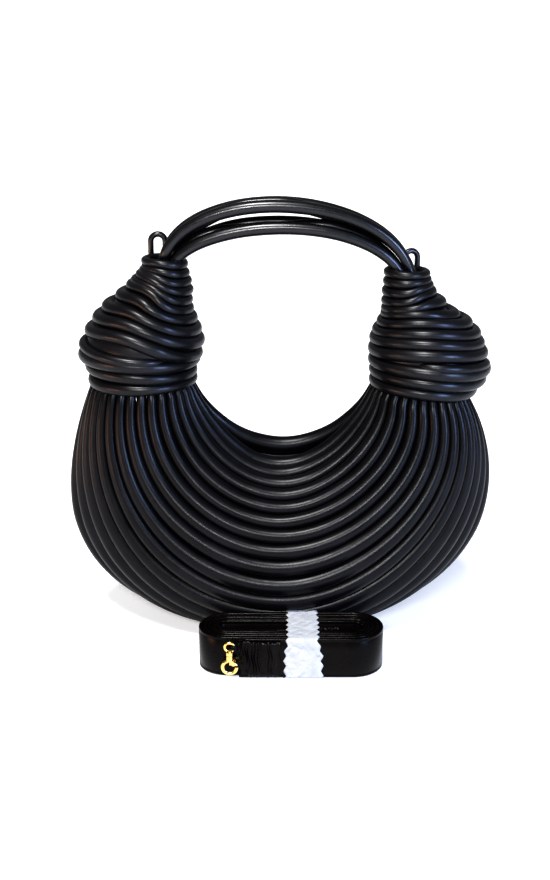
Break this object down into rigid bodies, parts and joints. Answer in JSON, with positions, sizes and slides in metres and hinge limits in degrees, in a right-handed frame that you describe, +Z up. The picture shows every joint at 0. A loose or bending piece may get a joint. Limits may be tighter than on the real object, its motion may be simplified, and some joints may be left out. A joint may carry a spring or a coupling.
{
  "type": "knotted cord handbag",
  "caption": "Small hobo handbag of parallel stuffed leather cords tied in two knots, with a bundled cord handle and a folded shoulder strap held by a paper band.",
  "frame": {"origin": "on the floor under the middle of the bag, on the flattened underside of the keel cord", "axes": "+Z up, the front and the strap bundle face -Y, +X from the left knot to the right knot"},
  "size_m": [0.2506, 0.1473, 0.2587],
  "materials": {
    "body_leather": "smooth semi-gloss black",
    "knot_leather": "smooth semi-gloss black",
    "handle_leather": "smooth gloss black",
    "strap_leather": "smooth semi-gloss black, painted edge",
    "lining_cloth": "dark woven lining",
    "snap_metal": "plated, satin",
    "gold_metal": "polished gold plate",
    "band_paper": "thin white tissue paper"
  },
  "bodies": {
    "bag": {"front_cord_01": "body_leather", "front_cord_02": "body_leather", "front_cord_03": "body_leather", "front_cord_04": "body_leather", "front_cord_05": "body_leather", "front_cord_06": "body_leather", "front_cord_07": "body_leather", "front_cord_08": "body_leather", "front_cord_09": "body_leather", "front_cord_10": "body_leather", "front_cord_11": "body_leather", "front_cord_12": "body_leather", "front_cord_13": "body_leather", "front_cord_14": "body_leather", "front_cord_15": "body_leather", "back_cord_01": "body_leather", "back_cord_02": "body_leather", "back_cord_03": "body_leather", "back_cord_04": "body_leather", "back_cord_05": "body_leather", "back_cord_06": "body_leather", "back_cord_07": "body_leather", "back_cord_08": "body_leather", "back_cord_09": "body_leather", "back_cord_10": "body_leather", "back_cord_11": "body_leather", "back_cord_12": "body_leather", "back_cord_13": "body_leather", "back_cord_14": "body_leather", "back_cord_15": "body_leather", "keel_cord": "body_leather", "lining_pouch": "lining_cloth", "snap_front": "snap_metal", "snap_back": "snap_metal"},
    "handle": {"left_knot_core": "knot_leather", "left_collar_turns": "knot_leather", "left_belly_turns": "knot_leather", "left_neck_turns": "knot_leather", "right_knot_core": "knot_leather", "right_collar_turns": "knot_leather", "right_belly_turns": "knot_leather", "right_neck_turns": "knot_leather", "handle_cord_front_upper": "handle_leather", "handle_cord_middle_upper": "handle_leather", "handle_cord_back_upper": "handle_leather", "handle_cord_back_lower": "handle_leather", "handle_cord_middle_lower": "handle_leather", "handle_cord_front_lower": "handle_leather", "left_strap_loop": "handle_leather", "right_strap_loop": "handle_leather"},
    "strap": {"shoulder_strap": "strap_leather", "outer_strap_end": "strap_leather", "inner_strap_end": "strap_leather", "outer_hook_eye": "gold_metal", "inner_hook_eye": "gold_metal"},
    "band": {"paper_band": "band_paper"},
    "outer_hook": {"outer_hook_body": "gold_metal"},
    "outer_gate": {"outer_hook_gate": "gold_metal"},
    "inner_hook": {"inner_hook_body": "gold_metal"},
    "inner_gate": {"inner_hook_gate": "gold_metal"}
  },
  "joints": [
    {"name": "handle_tilt", "type": "hinge", "parent": "bag", "child": "handle", "pos_m": [0, 0, 0.172], "axis": [1, 0, 0], "range_deg": [-15, 15], "stiffness_Nm_per_rad": 2},
    {"name": "strap_slide", "type": "slide", "parent": "bag", "child": "strap", "axis": [0, -1, 0], "range_m": [0, 0.15]},
    {"name": "band_slide", "type": "slide", "parent": "strap", "child": "band", "axis": [1, 0, 0], "range_m": [0, 0.09]},
    {"name": "outer_hook_swivel", "type": "hinge", "parent": "strap", "child": "outer_hook", "pos_m": [-0.029, -0.0886, 0.0162], "axis": [0, 0, 1], "range_deg": [-60, 60]},
    {"name": "outer_gate_press", "type": "hinge", "parent": "outer_hook", "child": "outer_gate", "pos_m": [-0.0269, -0.0886, 0.0114], "axis": [0, 1, 0], "range_deg": [0, 25], "stiffness_Nm_per_rad": 0.005},
    {"name": "inner_hook_swivel", "type": "hinge", "parent": "strap", "child": "inner_hook", "pos_m": [0.0086, -0.0675, 0.0162], "axis": [0, 0, 1], "range_deg": [-15, 15]},
    {"name": "inner_gate_press", "type": "hinge", "parent": "inner_hook", "child": "inner_gate", "pos_m": [0.0107, -0.0675, 0.0114], "axis": [0, 1, 0], "range_deg": [0, 25], "stiffness_Nm_per_rad": 0.005}
  ]
}
